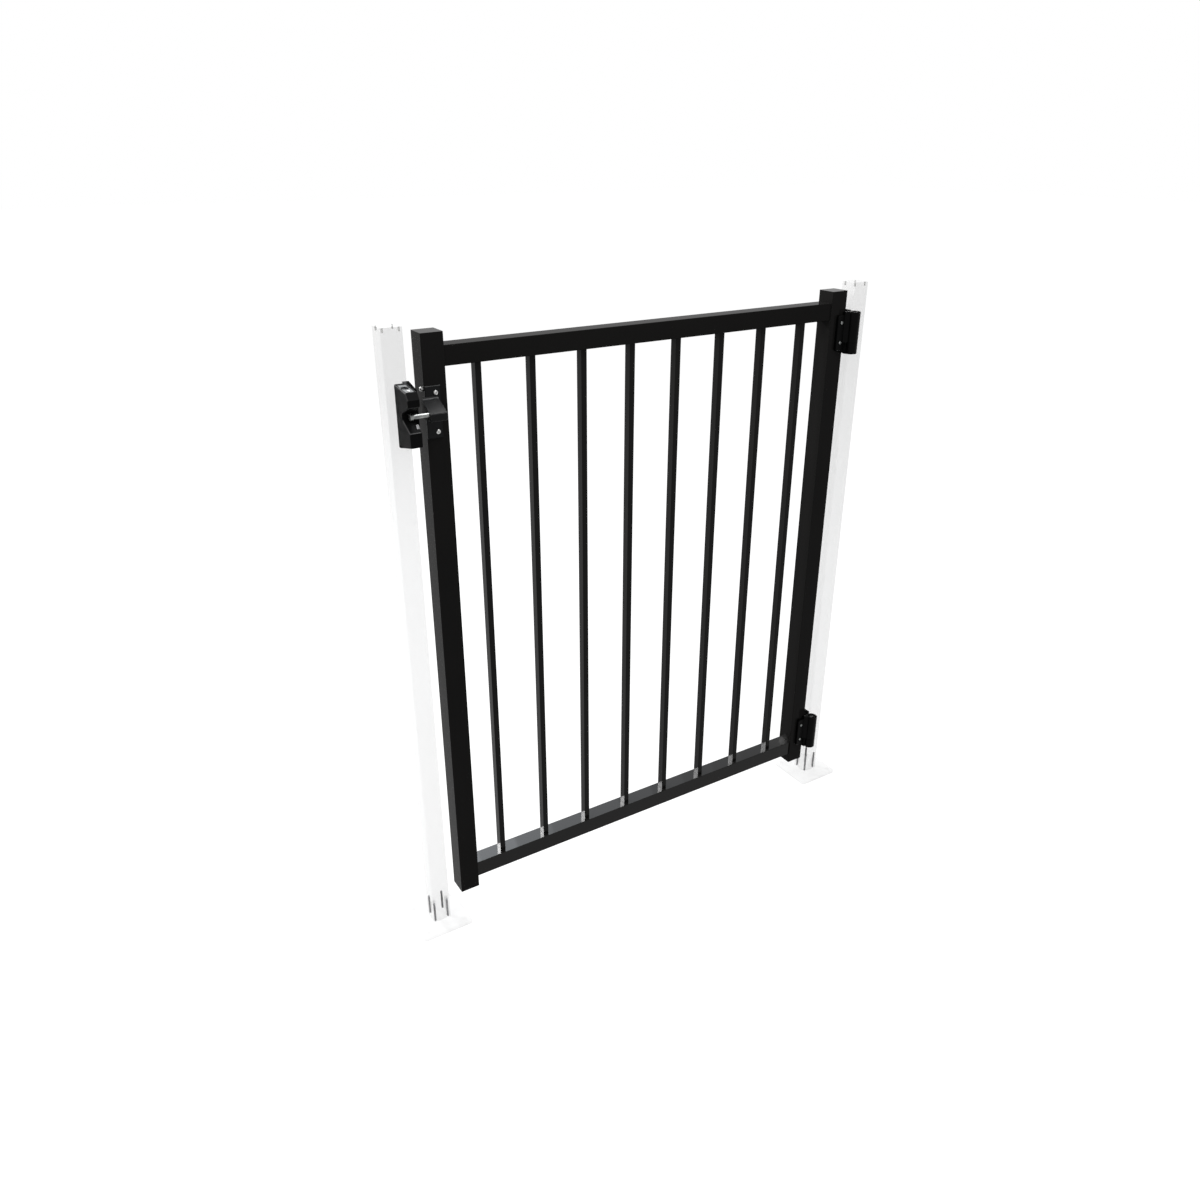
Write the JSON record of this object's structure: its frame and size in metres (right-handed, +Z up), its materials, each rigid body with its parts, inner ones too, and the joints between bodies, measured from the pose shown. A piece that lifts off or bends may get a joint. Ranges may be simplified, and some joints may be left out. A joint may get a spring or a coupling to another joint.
{
  "type": "metal gate",
  "caption": "Hinged picket gate of square black tube between two base-plated posts, with moulded hinges and a front latch that takes a striker pin.",
  "frame": {"origin": "middle of the underside of the hinge post's base plate, on the ground", "axes": "+Z up along the posts, +X along the gate from the latch post to the hinge post, +Y away from the side that the gate opens to"},
  "size_m": [1.2541, 0.1397, 1.352],
  "materials": {
    "post_white": "white powder coat",
    "gate_black": "black satin powder coat",
    "moulded_black": "moulded, fine grain",
    "bright_steel": "stainless"
  },
  "bodies": {
    "posts": {"hinge_post": "post_white", "hinge_post_base": "post_white", "hinge_post_cap": "post_white", "latch_post": "post_white", "latch_post_base": "post_white", "latch_post_cap": "post_white", "latch_post_screw_1": "bright_steel", "latch_post_screw_2": "bright_steel", "latch_post_screw_3": "bright_steel", "latch_post_screw_4": "bright_steel", "hinge_post_screw_1": "bright_steel", "hinge_post_screw_2": "bright_steel", "hinge_post_screw_3": "bright_steel", "hinge_post_screw_4": "bright_steel", "upper_hinge_post_wing": "moulded_black", "lower_hinge_post_wing": "moulded_black", "upper_hinge_pin": "bright_steel", "lower_hinge_pin": "bright_steel", "latch_body": "moulded_black", "latch_lock": "bright_steel"},
    "leaf": {"latch_stile": "gate_black", "hinge_stile": "gate_black", "top_rail": "gate_black", "bottom_rail": "gate_black", "picket_1": "gate_black", "picket_2": "gate_black", "picket_3": "gate_black", "picket_4": "gate_black", "picket_5": "gate_black", "picket_6": "gate_black", "picket_7": "gate_black", "picket_8": "gate_black", "latch_stile_top_cap": "gate_black", "latch_stile_foot_cap": "gate_black", "hinge_stile_top_cap": "gate_black", "hinge_stile_foot_cap": "gate_black", "striker_bracket": "gate_black", "striker_pin": "bright_steel", "upper_hinge_gate_wing": "moulded_black", "lower_hinge_gate_wing": "moulded_black"},
    "tongue": {"latch_tongue": "bright_steel"}
  },
  "joints": [
    {"name": "gate_swing", "type": "hinge", "parent": "posts", "child": "leaf", "pos_m": [-0.03, -0.037, 0.7016], "axis": [0, 0, 1], "range_deg": [0, 100]},
    {"name": "tongue_lift", "type": "slide", "parent": "posts", "child": "tongue", "axis": [0, 0, 1], "range_m": [0, 0.015]}
  ]
}
